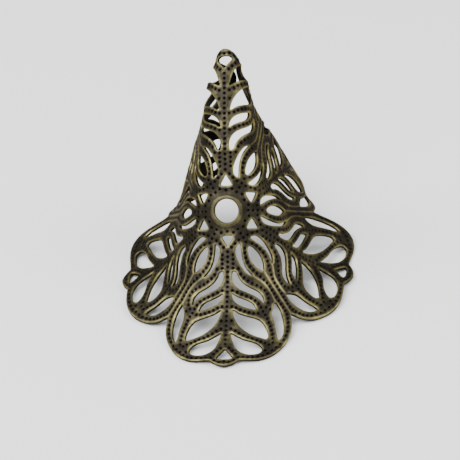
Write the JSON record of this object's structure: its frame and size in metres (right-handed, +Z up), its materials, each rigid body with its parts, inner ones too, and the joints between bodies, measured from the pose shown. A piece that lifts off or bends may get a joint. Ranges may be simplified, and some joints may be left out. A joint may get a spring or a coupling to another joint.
{
  "type": "filigree bead cap",
  "caption": "Pierced sheet-metal flower with six lobes, rolled into an open-backed cone that caps a bead or tassel and hangs from a loop at its narrow end.",
  "frame": {"origin": "centre of the footprint box, on the ground that the cap rests on", "axes": "+Z up, the mouth lobe points to -Y, the narrow end rises toward +Y, X runs across the lobes"},
  "size_m": [0.0364, 0.04, 0.0329],
  "materials": {
    "antique_brass": "antique bronze, near black in the recesses and worn olive gold on the raised edges"
  },
  "bodies": {
    "root": {"filigree_cone": "antique_brass"}
  },
  "joints": []
}
